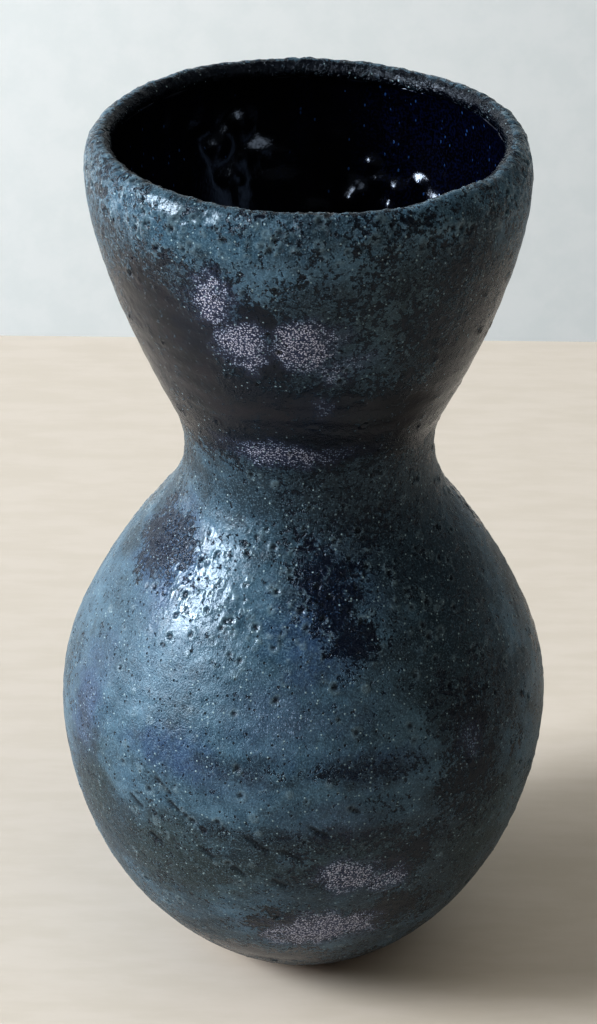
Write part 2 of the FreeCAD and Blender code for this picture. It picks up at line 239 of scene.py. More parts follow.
# How far the thrown wall swells beyond its arcs: (height, swell), millimetres.
SWELL = [
    (0, 0), (5, 0.8), (15, 1.2), (35, 0.8), (60, 0.1), (150, 0), (190, 0.1), (205, 0.5), (220, 0.5),
    (240, 0.8), (259, 0.8), (276, 0.2), (292, 0),
]
# Dips and swells of the rim: (angle, half width in degrees, rise in millimetres).
RIM_WAVES = [
    (45, 9, 0.7), (62, 7, -0.8), (28, 10, -0.4), (-70, 25, 0.5), (150, 30, -0.6), (-150, 20, 0.4),
]


def angle_of(points):
    """Degrees round the vase, 0 at the front and positive to the right."""
    return np.degrees(np.arctan2(points[:, 0], -points[:, 1]))


def apart(angle, other):
    """Degrees from one angle to another, the short way round, signed."""
    return (angle - other + 180) % 360 - 180


def handmade(points):
    """Moves points the way a thrown and joined vase strays from a perfect turned form."""
    height = points[:, 2] / MM
    angle = angle_of(points)
    free = ramp(height, 6, 40)
    heights, shifts = zip(*WANDER)
    smooth = sum(np.interp(height + step, heights, shifts) for step in (-8, -4, 0, 4, 8)) / 5
    moved = points.copy()
    slow = points * np.array([1, 1, 0.8])
    oval = 1 + free * 0.008 * (layered(slow, 70 * MM, 11, 2) - 0.5)
    heights, swells = zip(*SWELL)
    radius = np.maximum(np.hypot(points[:, 0], points[:, 1]), 20 * MM)
    oval = oval + sum(np.interp(height + step, heights, swells) for step in (-4, 0, 4)) / 3 * MM / radius
    moved[:, 0] *= oval
    moved[:, 1] *= oval
    moved[:, 0] += smooth * free * MM
    wave = sum(rise * np.exp(-((apart(angle, at) / wide) ** 2)) for at, wide, rise in RIM_WAVES)
    wave = wave + 0.9 * (layered(points, 16 * MM, 21, 2) - 0.5)
    moved[:, 2] += ramp(height, 262, 291) * wave * MM
    return moved


def turned(section, columns):
    """Points of a section turned about Z: one row of columns per section point."""
    turn = np.linspace(0, 2 * math.pi, columns, endpoint=False)
    radius, height = section[:, 0, None], section[:, 1, None]
    grid = [radius * np.sin(turn), -radius * np.cos(turn), height + 0 * turn]
    return np.stack(grid, axis=-1).reshape(-1, 3)


def section_normals(section):
    """Outward directions of a closed section, in the plane of radius and height."""
    along = np.roll(section, -1, axis=0) - np.roll(section, 1, axis=0)
    normal = np.stack([along[:, 1], -along[:, 0]], axis=1)
    return normal / np.linalg.norm(normal, axis=1)[:, None]


def add_mesh(name, points, rows, columns, poles, values, material):
    """A closed lathe mesh from rows of points; poles are the two points on the axis, if it has them."""
    bands = rows if poles is None else rows - 1
    row, column = np.meshgrid(np.arange(bands), np.arange(columns), indexing="ij")
    next_row, next_column = (row + 1) % rows, (column + 1) % columns
    corners = [(row, column), (row, next_column), (next_row, next_column), (next_row, column)]
    quads = np.stack([r * columns + c for r, c in corners], axis=-1).reshape(-1, 4)
    fans = np.zeros((0, 3), int)
    if poles is not None:
        ring = np.arange(columns)
        following = (ring + 1) % columns
        top = (rows - 1) * columns
        first = np.stack([0 * ring + rows * columns, following, ring], axis=1)
        last = np.stack([0 * ring + rows * columns + 1, top + ring, top + following], axis=1)
        fans = np.concatenate([first, last])
        points = np.concatenate([points, poles])
    loops = np.concatenate([quads.ravel(), fans.ravel()])
    starts = np.concatenate([np.arange(0, quads.size, 4), quads.size + np.arange(0, fans.size, 3)])
    mesh = bpy.data.meshes.new(name)
    mesh.vertices.add(len(points))
    mesh.vertices.foreach_set("co", points.astype(np.float32).ravel())
    mesh.loops.add(len(loops))
    mesh.loops.foreach_set("vertex_index", loops.astype(np.int32))
    mesh.polygons.add(len(starts))
    mesh.polygons.foreach_set("loop_start", starts.astype(np.int32))
    mesh.update(calc_edges=True)
    mesh.shade_smooth()
    for label, value in values.items():
        layer = mesh.attributes.new(label, "FLOAT", "POINT")
        full = np.concatenate([value, np.zeros(len(points) - len(value))])
        layer.data.foreach_set("value", full.astype(np.float32))
    mesh.materials.append(material)
    piece = bpy.data.objects.new(name, mesh)
    bpy.context.scene.collection.objects.link(piece)
    return piece


def lathe(name, section, columns, material, relief=None):
    """Turns a section into a closed piece; relief gives its surface displacement and values."""
    poles = None
    on_axis = section[0, 0] == 0
    if on_axis:
        poles = np.array([[0, 0, section[0, 1]], [0, 0, section[-1, 1]]])
    normals = section_normals(section)
    if on_axis:
        section, normals = section[1:-1], normals[1:-1]
    points = turned(section, columns)
    placed = handmade(points)
    values = {}
    if relief is not None:
        lift, values = relief(points)
        normal = np.repeat(normals, columns, axis=0)
        turn = np.tile(np.linspace(0, 2 * math.pi, columns, endpoint=False), len(section))
        outward = [normal[:, 0] * np.sin(turn), -normal[:, 0] * np.cos(turn), normal[:, 1]]
        placed = placed + np.stack(outward, axis=1) * lift[:, None]
    return add_mesh(name, placed, len(section), columns, poles, values, material)


# ---------------------------------------------------------------- where the glaze differs

# Patches of glaze: (angle, height mm, half width mm, half height mm, tilt degrees, strength).
DARK = [
    (-64, 160, 14, 7.5, -10, 1.1), (3, 164, 9, 7, -30, 0.9), (8, 156, 11, 10, -35, 1.05),
    (13, 148, 9, 7, -20, 0.95), (43, 106, 12, 22, 0, 0.9), (10, 110, 32, 2.8, 0, 0.45),
    (5, 87, 44, 2.4, 0, 0.45), (56, 120, 12, 30, 0, 0.4), (46, 252, 22, 24, 0, 0.25),
    (0, 206, 30, 5, 0, 0.9), (60, 204, 25, 6, 0, 0.6), (24, 83, 28, 5, 0, 0.5), (-2, 46, 13, 8, 0, 1.0),
    (24, 50, 13, 7, 0, 0.9), (26, 77, 13, 8, 0, 0.9), (4, 71, 8, 5, 0, 0.5), (30, 52, 14, 10, 10, 0.5),
    # The patch at 35 degrees, high on the right shoulder, is partly painted shade where less light falls.
    (35, 172, 14, 12, 0, 0.35), (-12, 241, 7, 6, 0, 0.6), (-13, 258, 4, 4, 0, 0.7),
    (20, 180, 16, 5, 0, 0.3), (118, 158, 18, 12, 20, 1.0), (172, 118, 20, 9, -10, 0.8),
    (-128, 112, 18, 13, 15, 0.9), (-160, 165, 14, 9, 0, 0.8), (150, 70, 22, 8, 0, 0.7),
    (-100, 62, 20, 7, 0, 0.6), (-178, 206, 40, 6, 0, 0.8), (95, 120, 12, 9, 0, 0.7),
    (-90, 206, 30, 5, 0, 0.7),
]
LIGHT = [
    (-22, 128, 30, 22, 0, 0.30), (16, 240, 24, 18, 0, 0.42), (30, 256, 16, 10, 0, 0.2),
    (-40, 183, 14, 12, 0, 0.35), (-30, 283, 34, 6, 0, 0.25), (-10, 96, 26, 8, 0, 0.2),
    (-50, 130, 16, 24, 0, 0.2), (70, 268, 20, 12, 0, 0.15), (160, 140, 30, 16, 0, 0.3),
    (-120, 150, 22, 16, 0, 0.25), (100, 90, 24, 12, 0, 0.2),
]
SMOOTH = [
    (-45, 243, 17, 24, 10, 1.0), (-5, 221, 40, 9, 0, 1.0), (30, 219, 30, 8, 0, 0.9),
    (-17, 23, 22, 7, 0, 1.0), (110, 222, 40, 10, 0, 1.0), (-110, 222, 40, 10, 0, 1.0),
    (180, 220, 40, 9, 0, 1.0), (170, 245, 16, 14, 0, 0.8), (80, 24, 24, 7, 0, 0.9),
    (-140, 24, 24, 7, 0, 0.9),
]
BLOOM = [
    (-26, 262, 7, 9, -15, 1.2), (-19, 248, 7.5, 9, -15, 1.2), (-2, 249, 7, 8, 0, 1.2),
    (4, 253, 6, 3.5, 0, 0.7), (7, 239, 6, 5, -25, 0.7), (13, 243, 6, 3.5, 20, 0.6),
    (5, 225, 3.5, 4.5, 0, 0.45), (-14, 203, 15, 5, 0, 0.9), (8, 204, 12, 3, 0, 0.5),
    (13, 70, 10, 7, 10, 1.1), (20, 66, 7, 5, 0, 0.9), (5, 43, 15, 8, 0, 1.5), (-4, 126, 18, 9, 0, 0.4),
    (8, 93, 15, 6, 0, 0.35), (-18, 104, 12, 6, 0, 0.3), (-62, 110, 8, 14, 0, 0.4),
    (15, 47, 8, 4, 10, 1.1), (43, 110, 5, 6, 0, 0.45), (140, 256, 9, 8, 0, 0.95),
    (152, 244, 7, 7, 0, 0.8), (186, 122, 11, 7, 0, 0.8), (-140, 62, 13, 6, 0, 0.9),
    (-108, 252, 8, 7, 0, 0.8), (98, 68, 10, 6, 0, 0.8), (-172, 250, 7, 6, 0, 0.8),
]
BLUE = [
    (-32, 110, 13, 7, 0, 0.9), (13, 111, 20, 5, 0, 0.8), (-64, 103, 9, 20, 0, 0.7),
    (6, 154, 14, 16, -30, 0.9), (-60, 160, 18, 11, -20, 1.0), (-26, 256, 14, 16, 0, 0.5),
    (-8, 78, 10, 4, 0, 0.4), (118, 155, 22, 16, 20, 0.8), (-128, 112, 22, 16, 15, 0.8),
    (5, 224, 8, 8, 0, 0.8),
]
GREEN = [
    (-30, 70, 26, 13, 0, 0.8), (10, 76, 30, 8, 0, 0.7), (52, 70, 24, 20, 0, 0.8),
    (20, 262, 16, 14, 0, 0.6), (-58, 84, 12, 18, 0, 0.6), (34, 130, 20, 18, 0, 0.4),
    (150, 80, 40, 14, 0, 0.8), (-110, 80, 30, 12, 0, 0.7),
]
CRATERED = [
    (-38, 157, 22, 15, -10, 1.0), (-10, 152, 16, 12, 0, 0.9), (2, 156, 12, 14, -30, 0.8),
    (18, 160, 14, 14, 0, 0.7), (-60, 165, 14, 12, 0, 0.8), (40, 150, 16, 16, 0, 0.5),
    (-38, 281, 30, 8, 0, 0.9), (-30, 92, 14, 9, 0, 0.25), (120, 160, 24, 16, 0, 0.9),
    (170, 155, 24, 14, 0, 0.7), (-120, 160, 24, 14, 0, 0.8), (0, 286, 200, 7, 0, 0.8),
]
# Diagonal drying cracks in the lower glaze: (angle, height mm, length mm), falling to the right.
CRACKS = [
    (-33, 98, 9), (-30, 92, 7), (-26, 89, 6), (-41, 88, 8), (-10, 84, 11), (-2, 80, 10), (4, 90, 9),
    (-22, 77, 8), (-15, 72, 9), (-36, 76, 7), (12, 97, 5), (-5, 68, 7), (100, 90, 9), (-120, 92, 8),
]


def patches(points, radius, spots, seed):
    """Strength from 0 to about 1 of ragged-edged patches on the surface."""
    angle = angle_of(points)
    height = points[:, 2] / MM
    ragged = 1.3 * (layered(points, 11 * MM, seed) - 0.5)
    ragged = ragged + 0.9 * (layered(points, 3 * MM, seed + 3, 2) - 0.5)
    total = np.zeros(len(points))
    for at, up, wide, tall, tilt, strength in spots:
        across = np.radians(apart(angle, at)) * radius / MM
        rise = height - up
        near = (np.abs(across) < 2.2 * wide + tall) & (np.abs(rise) < 2.2 * tall + wide)
        lean = math.radians(tilt)
        a = across[near] * math.cos(lean) + rise[near] * math.sin(lean)
        b = rise[near] * math.cos(lean) - across[near] * math.sin(lean)
        reach = np.sqrt((a / wide) ** 2 + (b / tall) ** 2) + ragged[near]
        total[near] = np.maximum(total[near], strength * ramp(reach, 1.7, 0.25))
    return total


# By height in millimetres: how much of the slate glaze covers the dark one, and how deep its tone is.
LEVELS = [0, 14, 30, 45, 80, 90, 135, 165, 192, 202, 208, 232, 246, 262, 276, 292]
COVER_SHARES = [0.2, 0.5, 0.75, 0.85, 0.85, 0.93, 0.93, 0.82, 0.66, 0.4, 0.1, 0.1, 0.3, 0.45, 0.62, 0.62]
DEEP_SHARES = [0.9, 0.65, 0.35, 0.25, 0.3, 0.05, 0.0, 0.2, 0.4, 0.7, 1.0, 0.9, 0.4, 0.3, 0.05, 0.05]
# Darker, thinner stretches of the slate glaze, as for the patches above; the broad ones at 40 to 48 degrees
# are partly painted shade on the right side, turned from the window.
DEEP = [
    (48, 140, 26, 60, 0, 0.75), (16, 150, 22, 30, -10, 0.45), (6, 110, 50, 5, 0, 0.7),
    (5, 87, 52, 5, 0, 0.6), (-32, 68, 24, 10, 10, 0.9), (40, 60, 26, 30, 0, 0.5),
    (45, 250, 24, 30, 0, 0.6), (8, 262, 26, 10, 0, 0.35), (24, 178, 22, 12, 0, 0.4),
    (-58, 70, 12, 22, 0, 0.8), (150, 100, 34, 30, 0, 0.6), (-120, 190, 26, 12, 0, 0.5),
    (-150, 140, 24, 12, 0, 0.5), (-95, 84, 30, 6, 0, 0.7), (110, 60, 30, 12, 0, 0.6),
    (-170, 84, 40, 6, 0, 0.6), (170, 262, 24, 10, 0, 0.4), (100, 130, 18, 20, 0, 0.4),
    (-130, 60, 26, 10, 0, 0.6),
]


def crack_depth(points, radius):
    """Depth from 0 to 1 of the short diagonal cracks."""
    angle = angle_of(points)
    height = points[:, 2] / MM
    ragged = 0.7 * (noise(points, 2.5 * MM, 91) - 0.5)
    total = np.zeros(len(points))
    for at, up, length in CRACKS:
        across = np.radians(apart(angle, at)) * radius / MM
        rise = height - up
        a = across * 0.83 - rise * 0.56
        b = across * 0.56 + rise * 0.83 + ragged
        reach = np.abs(a) / (length / 2)
        total = np.maximum(total, ramp(reach, 1.0, 0.6) * ramp(np.abs(b), 1.1, 0.2))
    return total


# Relief of the outer coat, in millimetres unless it is a share.
SLOW_SWELL, RING_RISE, RING_PITCH = 0.40, 0.04, 7.5
GRAIN, RIM_GRAIN, COVER_GRAIN = 0.10, 0.26, 0.05
CRATER_CELL, CRATER_DEPTH, CRATER_CREST = 3.4, 0.42, 0.2
CRATERS_ANYWHERE, CRATERS_IN_PATCHES = 0.07, 0.95
CRACK_DEPTH, COVER_STEP, DEEPEST = 0.5, 0.10, -0.65


def outer_relief(points):
    """Relief and glaze values of both faces of the outer coat."""
    radius = np.hypot(points[:, 0], points[:, 1])
    height = points[:, 2] / MM
    waver = height + 9 * (layered(points, 26 * MM, 31) - 0.5)
    level = np.interp(waver, LEVELS, COVER_SHARES)
    dark = patches(points, radius, DARK, 41)
    light = patches(points, radius, LIGHT, 43)
    smooth = patches(points, radius, SMOOTH, 45)
    bloom = patches(points, radius, BLOOM, 47)
    blue = patches(points, radius, BLUE, 49)
    green = patches(points, radius, GREEN, 51)
    cratered = patches(points, radius, CRATERED, 53)
    cracks = crack_depth(points, radius)
    cover = level + 0.4 * (layered(points, 15 * MM, 33) - 0.5) + light - 0.75 * dark - 0.5 * smooth
    cover = np.clip(cover - 0.25 * bloom, 0, 1)
    inner = ramp(radius / MM + 0.8 * (layered(points, 4 * MM, 35) - 0.5), 62.9, 61.6) * (height > 270)
    cover = cover * (1 - 0.6 * inner)
    deep = np.interp(waver, LEVELS, DEEP_SHARES) + patches(points, radius, DEEP, 55) - 0.6 * light
    deep = np.clip(deep + 1.4 * (layered(points, 17 * MM, 37) - 0.5), 0, 1)

    rim = ramp(height, 270, 284)
    slow = SLOW_SWELL * (layered(points, 24 * MM, 61) - 0.5)
    rings = RING_RISE * np.sin(2 * math.pi * waver / RING_PITCH)
    rough = (GRAIN + RIM_GRAIN * rim + COVER_GRAIN * cover) * (1 - 0.75 * smooth)
    grain = rough * 2 * (layered(points, 2.3 * MM, 63, 2) - 0.5)
    far, own = nearest_cell(points, CRATER_CELL * MM, 71)
    crowd = CRATERS_ANYWHERE + CRATERS_IN_PATCHES * cratered * (0.3 + layered(points, 9 * MM, 73))
    active = (own < crowd * (1 - 0.8 * smooth)).astype(float)
    wide = 0.6 + 0.8 * ((own * 37) % 1)
    pit = active * ramp(far / wide, 0.34, 0.10)
    crest = active * np.exp(-(((far / wide - 0.40) / 0.10) ** 2))
    lift = slow + rings + grain - CRATER_DEPTH * pit + CRATER_CREST * crest - CRACK_DEPTH * cracks
    lift = np.maximum(lift + COVER_STEP * (cover - 0.5), DEEPEST)
    values = {
        "cover": cover, "smooth": smooth, "bloom": bloom, "blue": blue, "green": green,
        "pit": np.maximum(pit, cracks), "crest": crest, "wet": cratered, "deep": deep, "inner": inner,
    }
    return lift * MM, values


# Lumps and drips in the coat inside the cup: (angle, height mm, half width mm, rise mm).
LUMPS = [
    (163, 250, 3.0, 1.7), (157, 254, 2.5, 1.4), (166, 246, 3.0, 1.8), (150, 252, 3.0, 1.3),
    (143, 256, 2.6, 1.1), (160, 259, 2.2, 1.1), (136, 251, 3.0, 1.1), (128, 254, 3.0, 1.0),
    (152, 246, 3.0, 1.6), (-158, 272, 4.0, 1.1), (-150, 266, 4.5, 1.0), (-163, 262, 4.0, 1.1),
    (-145, 274, 3.5, 0.9), (-154, 255, 4.5, 1.1), (-138, 262, 4.5, 0.9), (-168, 252, 4.5, 1.0),
]


def liner_relief(points):
    """Gentle runs and bubbles in the poured coat inside."""
    stretched = points * np.array([1, 1, 0.35])
    runs = 2.4 * (layered(stretched, 11 * MM, 81, 2) - 0.5)
    bumps = 0.5 * (layered(points, 4.5 * MM, 83, 2) - 0.5)
    angle = angle_of(points)
    height = points[:, 2] / MM
    for at, up, wide, rise in LUMPS:
        across = np.radians(apart(angle, at)) * 50
        bumps = bumps + rise * np.exp(-((across / wide) ** 2) - ((height - up) / wide) ** 2)
    far, own = nearest_cell(points, 5 * MM, 85)
    bubble = (own < 0.12) * ramp(far, 0.3, 0.05)
    streaks_and_painted_light = ramp(layered(stretched * np.array([1, 1, 0.5]), 5 * MM, 87), 0.48, 0.72)
    # Extra cobalt streaks high on the far right inside, where the window's light falls: painted light.
    streaks_and_painted_light = streaks_and_painted_light + 1.2 * ramp(np.abs(apart(angle, 118)), 60, 15) * ramp(height, 225, 280)
    values = {"streaks_and_painted_light": streaks_and_painted_light, "pit": bubble}
    return np.maximum(runs + bumps + 0.2 * bubble, -0.3) * MM, values


# ---------------------------------------------------------------- materials


def colour(red, green, blue):
    """Linear colour with alpha from display values 0 to 255."""
    shares = [level / 255 for level in (red, green, blue)]
    linear = [((share + 0.055) / 1.055) ** 2.4 if share > 0.04 else share / 12.92 for share in shares]
    return (*linear, 1.0)


class Shader:
    """Builds one node material; every texture is in object space and sized in millimetres."""

    def __init__(self, name):
        self.material = bpy.data.materials.new(name)
        self.material.use_nodes = True
        self.tree = self.material.node_tree
        self.surface = self.tree.nodes["Principled BSDF"]
        place = self.add("ShaderNodeTexCoord")
        self.place = place.outputs["Object"]

    def add(self, kind, **settings):
        node = self.tree.nodes.new(kind)
        for label, value in settings.items():
            setattr(node, label, value)
        return node

    def put(self, socket, value):
        """Give a socket a link or a plain value."""
        if isinstance(value, bpy.types.NodeSocket):
            self.tree.links.new(value, socket)
        else:
            socket.default_value = value

    def value(self, label):
        """A value stored on the mesh."""
        return self.add("ShaderNodeAttribute", attribute_name=label).outputs["Fac"]

    def math(self, kind, first, second=0.0, clamp=False):
        node = self.add("ShaderNodeMath", operation=kind, use_clamp=clamp)
        self.put(node.inputs[0], first)
        self.put(node.inputs[1], second)
        return node.outputs[0]

    def times(self, first, second):
        """Product of two sockets or numbers."""
        return self.math("MULTIPLY", first, second)

    def total(self, *terms):
        """Weighted sum of (weight, socket) pairs and plain numbers."""
        result = 0.0
        for term in terms:
            part = self.times(term[1], term[0]) if isinstance(term, tuple) else term
            result = self.math("ADD", part, result)
        return result

    def moved(self, stretch=(1, 1, 1), shift=0.0):
        node = self.add("ShaderNodeMapping")
        self.put(node.inputs["Vector"], self.place)
        node.inputs["Scale"].default_value = stretch
        node.inputs["Location"].default_value = (shift, shift * 0.7, shift * 1.3)
        return node.outputs[0]

    def noise(self, size, detail=2.0, rough=0.55, stretch=(1, 1, 1), shift=0.0):
        node = self.add("ShaderNodeTexNoise")
        self.put(node.inputs["Vector"], self.moved(stretch, shift))
        node.inputs["Scale"].default_value = 1 / (size * MM)
        node.inputs["Detail"].default_value = detail
        node.inputs["Roughness"].default_value = rough
        return node.outputs["Fac"]

    def cells(self, size, shift=0.0, stretch=(1, 1, 1)):
        """Distance to scattered points and a value of its own for each."""
        node = self.add("ShaderNodeTexVoronoi")
        self.put(node.inputs["Vector"], self.moved(stretch, shift))
        node.inputs["Scale"].default_value = 1 / (size * MM)
        split = self.add("ShaderNodeSeparateColor")
        self.put(split.inputs[0], node.outputs["Color"])
        return node.outputs["Distance"], split.outputs[0]

    def ramp(self, value, low, high, start=0.0, end=1.0):
        """Smooth step from start at low to end at high."""
        node = self.add("ShaderNodeMapRange", interpolation_type="SMOOTHSTEP")
        if low > high:
            low, high, start, end = high, low, end, start
        for socket, given in zip(node.inputs[:5], (value, low, high, start, end)):
            self.put(socket, given)
        return node.outputs[0]

    def mix(self, share, first, second):
        node = self.add("ShaderNodeMix", data_type="RGBA")
        self.put(node.inputs[0], share)
        self.put(node.inputs[6], first)
        self.put(node.inputs[7], second)
        return node.outputs[2]

    def bump(self, height, distance, strength=1.0, under=None):
        node = self.add("ShaderNodeBump")
        node.inputs["Strength"].default_value = strength
        node.inputs["Distance"].default_value = distance * MM
        self.put(node.inputs["Height"], height)
        if under is not None:
            self.put(node.inputs["Normal"], under)
        return node.outputs[0]

    def finish(self, base, roughness, normal=None, **fixed):
        self.put(self.surface.inputs["Base Color"], base)
        self.put(self.surface.inputs["Roughness"], roughness)
        if normal is not None:
            self.put(self.surface.inputs["Normal"], normal)
        for label, given in fixed.items():
            self.surface.inputs[label.replace("_", " ")].default_value = given
        return self.material


def outer_glaze_material():
    """Slate blue glaze that breaks into grains over a dark blue gloss, with pale crystal blooms."""
    s = Shader("pitted_blue_glaze")
    cover, smooth, bloom = s.value("cover"), s.value("smooth"), s.value("bloom")
    blue, green, pit, crest = s.value("blue"), s.value("green"), s.value("pit"), s.value("crest")
    wet, deep = s.value("wet"), s.value("deep")

    grains = s.noise(1.7, 2.0, 0.65)
    flecks = s.noise(0.55, 2.0, 0.6, shift=3.0)
    clouds = s.noise(7.0, 3.0, 0.55, shift=5.0)
    wide_clouds = s.noise(34.0, 3.0, 0.5, shift=9.0)
    mottle = s.noise(13.0, 4.0, 0.6, stretch=(1.0, 1.0, 1.5), shift=17.0)
    edge = s.total((1.0, cover), (2.1, grains), (0.8, flecks), (1.1, clouds), -2.0)
    thin, laid = s.ramp(edge, 0.12, 0.42), s.ramp(edge, 0.42, 0.66)
    depth = s.ramp(s.total((1.0, deep), (1.4, clouds), (1.6, mottle), (0.8, grains), -1.72), 0.0, 1.0)

    dark = s.mix(s.ramp(wide_clouds, 0.35, 0.65), colour(7, 11, 24), colour(11, 17, 32))
    satin = s.mix(s.ramp(mottle, 0.40, 0.60), colour(10, 11, 21), colour(27, 23, 32))
    dark = s.mix(smooth, dark, satin)
    dark = s.mix(s.times(blue, 0.9), dark, colour(6, 18, 40))
    slate = s.mix(s.ramp(clouds, 0.3, 0.7), colour(56, 82, 100), colour(88, 117, 136))
    slate = s.mix(s.ramp(wide_clouds, 0.40, 0.62, 0.0, 0.4), slate, colour(50, 72, 84))
    slate = s.mix(s.times(blue, 0.6), slate, colour(44, 66, 106))
    slate = s.mix(s.times(green, 0.6), slate, colour(70, 86, 86))
    murky = s.mix(green, colour(22, 34, 42), colour(27, 38, 35))
    slate = s.mix(s.times(depth, 0.85), slate, murky)
    slate = s.mix(s.ramp(flecks, 0.50, 0.70, 0.0, 0.4), slate, colour(122, 150, 168))
    slate = s.mix(s.ramp(flecks, 0.46, 0.30, 0.0, 0.5), slate, colour(18, 30, 42))
    thinned = s.mix(blue, colour(19, 34, 46), colour(14, 32, 52))
    base = s.mix(laid, s.mix(thin, dark, thinned), slate)
    base = s.mix(s.times(s.value("inner"), 0.85), base, colour(6, 9, 18))

    # Crystal blooms: a dusky violet haze full of pale grains.
    reach, own = s.cells(0.62, shift=2.0)
    open_wet = s.times(s.times(wet, blue), s.math("SUBTRACT", 1.0, laid))
    crowd = s.math("MAXIMUM", bloom, s.times(open_wet, 0.45))
    chosen = s.ramp(s.total((1.0, crowd), (-0.9, own)), -0.1, 0.35)
    grain = s.times(s.ramp(reach, 0.58, 0.26), chosen)
    grain = s.times(grain, s.ramp(crowd, 0.05, 0.8))
    base = s.mix(s.times(bloom, 0.65), base, colour(60, 67, 94))
    grain_colour = s.mix(bloom, colour(116, 158, 196), colour(206, 208, 226))
    base = s.mix(s.times(grain, 0.9), base, grain_colour)

    # Scattered pale specks and dark pinholes.
    reach, own = s.cells(1.7, shift=7.0)
    speck = s.times(s.ramp(reach, 0.24, 0.12), s.math("LESS_THAN", own, 0.3))
    speck = s.times(speck, s.ramp(smooth, 0.9, 0.1, 0.1, 0.8))
    base = s.mix(speck, base, colour(150, 172, 180))
    reach, own = s.cells(2.3, shift=11.0)
    hole = s.times(s.ramp(reach, 0.22, 0.10), s.math("LESS_THAN", own, 0.55))
    hole = s.times(hole, s.ramp(smooth, 0.8, 0.1))
    dent = s.math("MAXIMUM", hole, pit)
    base = s.mix(s.times(dent, 0.88), base, colour(7, 11, 20))
    base = s.mix(s.times(s.times(crest, laid), 0.4), base, colour(120, 140, 150))

    rough = s.total((0.20, laid), (0.10, flecks), (-0.16, wet), 0.13)
    rough = s.math("SUBTRACT", rough, s.times(crest, 0.16))
    rough = s.math("ADD", rough, s.times(bloom, 0.08))
    glaze_height = s.total((0.5, laid), (0.3, thin), (0.9, flecks), (0.5, grains))
    height = s.total((0.6, grain), (0.4, speck), (-1.2, hole), glaze_height)
    calm_satin = s.ramp(smooth, 0.2, 0.9, 1.0, 0.25)
    calm_wet = s.ramp(s.times(wet, laid), 0.2, 0.9, 1.0, 0.4)
    lump_height = s.times(s.noise(2.2, 2.0, 0.6, shift=13.0), s.total((0.45, wet), 0.15))
    lumps = s.bump(lump_height, 0.45, 1.0)
    normal = s.bump(s.times(height, s.times(calm_satin, calm_wet)), 0.26, 0.9, lumps)
    tint = (0.74, 0.86, 1.0, 1.0)
    return s.finish(base, rough, normal, IOR=1.52, Specular_IOR_Level=0.52, Specular_Tint=tint)


def liner_glaze_material():
    """Nearly black blue gloss with cobalt runs and a few pale specks; more of both high on the far right
    inside are painted light where the window falls.
    """
    s = Shader("dark_liner_glaze")
    streaks_and_painted_light, pit = s.value("streaks_and_painted_light"), s.value("pit")
    clouds = s.noise(16.0, 3.0, 0.6, shift=4.0)
    flecks = s.noise(0.8, 2.0, 0.6)
    base = s.mix(s.ramp(clouds, 0.40, 0.66), colour(3, 3, 8), colour(7, 6, 16))
    # Cobalt streaks: real runs all round, plus painted light high on the far right inside.
    base = s.mix(s.times(streaks_and_painted_light, s.ramp(flecks, 0.46, 0.64)), base, colour(8, 18, 44))
    reach, own = s.cells(1.6, shift=6.0, stretch=(1.0, 1.0, 0.6))
    crowd = s.math("LESS_THAN", own, s.total((0.14, streaks_and_painted_light), 0.03))
    speck = s.times(s.ramp(reach, 0.30, 0.12), crowd)
    base = s.mix(s.times(speck, 0.7), base, colour(56, 92, 140))
    rough = s.total((0.16, flecks), (0.1, pit), 0.08)
    normal = s.bump(s.total((1.0, flecks), (0.8, speck)), 0.08, 0.6)
    return s.finish(base, rough, normal, IOR=1.52, Specular_Tint=(0.7, 0.82, 1.0, 1.0))


def clay_material(name, body, speck_colour, rough_level):
    """Unglazed fired stoneware: toasted clay with dark iron specks, pale grit and throwing lines."""
    s = Shader(name)
    clouds = s.noise(14.0, 4.0, 0.6)
    grit = s.noise(0.5, 3.0, 0.7, shift=2.0)
    lines = s.noise(1.4, 3.0, 0.6, stretch=(0.08, 0.08, 1.0), shift=5.0)
    base = s.mix(s.ramp(clouds, 0.32, 0.70), body, colour(120, 84, 58))
    base = s.mix(s.ramp(grit, 0.35, 0.7, 0.0, 0.4), base, colour(158, 128, 98))
    reach, own = s.cells(1.3, shift=8.0)
    iron = s.times(s.ramp(reach, 0.28, 0.12), s.math("LESS_THAN", own, 0.35))
    base = s.mix(s.times(iron, 0.85), base, speck_colour)
    rough = s.total((0.2, grit), rough_level)
    normal = s.bump(s.total((1.0, grit), (0.7, lines), (-0.6, iron)), 0.25, 0.8)
    return s.finish(base, rough, normal)


# ---------------------------------------------------------------- pieces

FINE, PLAIN = 0.7 * MM, 4.0 * MM
GLAZE_COLUMNS, LINER_COLUMNS, CLAY_COLUMNS = 720, 420, 200
CLAY_DEPTH, INNER_DEPTH, LINER_DEPTH = COAT, COAT + CLAY, 2 * COAT + CLAY
LIP_TURN = seam_direction("collar", "lip")


def outer_glaze_section():
    """Up the outside and over the lip, then back down against the clay."""
    edge = BASE_HEIGHT + BASE_BEVEL
    starts = [direction_at_height("lower", depth, edge) for depth in (0, CLAY_DEPTH)]
    outside = wall_points(0, "lower", "lip", starts[0], LIP_TURN + math.pi, FINE)
    hidden = wall_points(CLAY_DEPTH, "lower", "lip", starts[1], LIP_TURN + math.pi, PLAIN)
    return np.concatenate([outside, hidden[::-1]])


